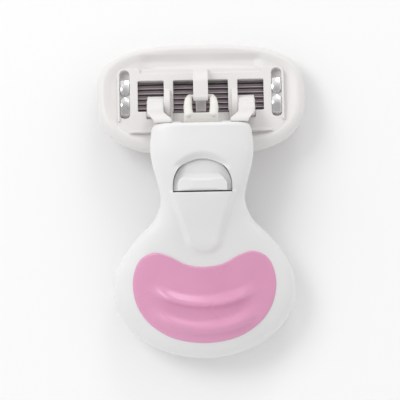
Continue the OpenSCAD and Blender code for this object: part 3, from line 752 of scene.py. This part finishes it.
rim_profile = [
    (5.25, 1.9), (3.6, 2.05), (2.4, 2.45), (1.6, 2.6), (0.95, 2.35), (0.35, 1.75),
    (0, 0.9), (0, -0.4), (0.27, -1.4), (1, -2.13), (2, -2.4),
]


def fair(points, pieces):
    """Open smooth curve through points, with some pieces between each two."""
    p = np.array([points[0]] + list(points) + [points[-1]], float)
    out = []
    for i in range(1, len(p) - 2):
        for t in np.arange(pieces) / pieces:
            a, b, c, d = p[i - 1], p[i], p[i + 1], p[i + 2]
            bend = t * t * (2 * a - 5 * b + 4 * c - d)
            out.append(0.5 * (2 * b + t * (c - a) + bend + t ** 3 * (3 * b - a - 3 * c + d)))
    return np.array(out + [p[-2]])


rim_n = 400
turn = np.arange(rim_n) * 2 * math.pi / rim_n
rim_rows = []
for inset, z in fair(rim_profile, 8):
    up = np.sin(turn) > 0
    power = 2 / np.where(up, 2.8, 2.9)
    reach = np.where(up, 12.5, 16) - inset
    x = (25.7 - inset) * np.sign(np.cos(turn)) * np.abs(np.cos(turn)) ** power
    y = 3.7 + reach * np.sign(np.sin(turn)) * np.abs(np.sin(turn)) ** power
    deep = ease(16, 12.8, np.abs(x)) * ease(7.8, 9.4, y) * ease(13.4, 11.4, y)
    rim_rows.append(np.stack([x, y, np.where(z > 1, z - np.maximum(z - 1.25, 0) * deep, z)], 1))
rim_rows = np.array(rim_rows)
m = len(rim_rows)
rim_faces = [tuple(range(rim_n)), tuple(reversed(range((m - 1) * rim_n, m * rim_n)))]
for r in range(m - 1):
    for i in range(rim_n):
        j = (i + 1) % rim_n
        rim_faces.append((r * rim_n + i, (r + 1) * rim_n + i, (r + 1) * rim_n + j, r * rim_n + j))
surround = make("surround", in_cartridge(rim_rows.reshape(-1, 3)) * MM, rim_faces)
opening = []
moulded_on = 0.24
for cx, cy, r, a0 in ((1, -4.4, 3, -90), (1, 8.2, 1.6, 0), (-1, 8.2, 1.6, 90), (-1, -4.4, 3, 180)):
    for a in np.radians(a0 + np.linspace(0, 90, 13)):
        tight = r - moulded_on
        opening.append((cx * (20.7 - r) + tight * math.cos(a), cy + tight * math.sin(a)))
tool = prism(opening, -6, 6)
corners = np.array([v.co for v in tool.data.vertices]) / MM
tool.data.vertices.foreach_set("co", (in_cartridge(corners) * MM).ravel())
cut(surround, tool)
soften(surround, 40)
dress(surround, cartridge_white)
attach(surround, "cartridge")
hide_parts("comfort_surround")

# --- blades and supports ---
# Six bent strips of stainless steel, each with a thin ground cutting strip welded along it. They sit loose in
# the housing's slots and rest on its fingers, so each can give a little.

# The supports' steel gets a dark, pink-tinted base colour: painted shade for the windows they are seen
# through, not the bare steel's own tone.
support_steel = finish_material(
    "support_steel", metal,
    {"Base": (0.42, 0.37, 0.385, 1), "Shade": (0.36, 0.31, 0.325, 1), "Gloss Low": 0.3, "Gloss High": 0.45},
    0.2, 0.00001, Metallic=1.0,
)
blade_steel = finish_material(
    "blade_steel", metal,
    {"Base": (0.68, 0.68, 0.7, 1), "Shade": (0.6, 0.6, 0.62, 1), "Gloss Low": 0.15, "Gloss High": 0.3},
    0.2, 0.00001, Metallic=1.0,
)
for i in range(1, 7):
    dress(nodes[f"blade_support_{i}"], support_steel)
    dress(nodes[f"blade_{i}"], blade_steel)

# --- floor, lights and camera ---
# A matt white table top under an even white sky that is a little dimmer overhead, with a soft lamp at the
# upper left and a smaller one beyond the cartridge. The camera looks straight down from far off.

floor_z = -0.00005
side = 1.5
floor_corners = [(x * side, y * side, floor_z) for x, y in ((-1, -1), (1, -1), (1, 1), (-1, 1))]
floor = make("floor", floor_corners, [(0, 1, 2, 3)])
floor_paint = bpy.data.materials.new("floor_paint")
floor_paint.use_nodes = True
floor_paint.node_tree.nodes["Principled BSDF"].inputs["Base Color"].default_value = (0.95, 0.95, 0.95, 1)
floor_paint.node_tree.nodes["Principled BSDF"].inputs["Roughness"].default_value = 0.9
dress(floor, floor_paint)

world = bpy.data.worlds.new("studio")
world.use_nodes = True
sky = world.node_tree
toward = add(sky, "ShaderNodeSeparateXYZ")
sky.links.new(sky.nodes.new("ShaderNodeTexCoord").outputs["Generated"], toward.inputs[0])
overhead = ramp(sky, toward.outputs["Z"], 0.64, 0.94)
brightness = mix(sky, overhead, (1, 1, 1, 1), (0.45, 0.45, 0.45, 1))
sky.links.new(brightness, sky.nodes["Background"].inputs["Color"])
world.node_tree.nodes["Background"].inputs["Strength"].default_value = 0.98
bpy.context.scene.world = world


def softbox(name, place, aim, size, power):
    """Square soft lamp, in metres and watts, turned towards a point."""
    light = bpy.data.lights.new(name, "AREA")
    light.shape = "SQUARE"
    light.size = size
    light.energy = power
    lamp = bpy.data.objects.new(name, light)
    lamp.location = place
    lamp.rotation_euler = (Vector(aim) - Vector(place)).to_track_quat("-Z", "Y").to_euler()
    bpy.context.scene.collection.objects.link(lamp)


softbox("key", (-0.6, 0.5, 0.8), (0, 0, 0.01), 0.5, 3.4)
softbox("crest_light", (0.2, 1.0, 0.5), (0, 0, 0.01), 0.35, 1.6)

camera = bpy.data.objects.new("camera", bpy.data.cameras.new("camera"))
bpy.context.scene.collection.objects.link(camera)
view_width = 99 * MM
distance = 1.6
camera.data.lens = camera.data.sensor_width * distance / view_width
camera.location = (-0.0007, 0.0003, distance + 0.009)
camera.rotation_euler = (0, 0, math.radians(-1.15))
bpy.context.scene.view_settings.view_transform = "Standard"
bpy.context.scene.camera = camera
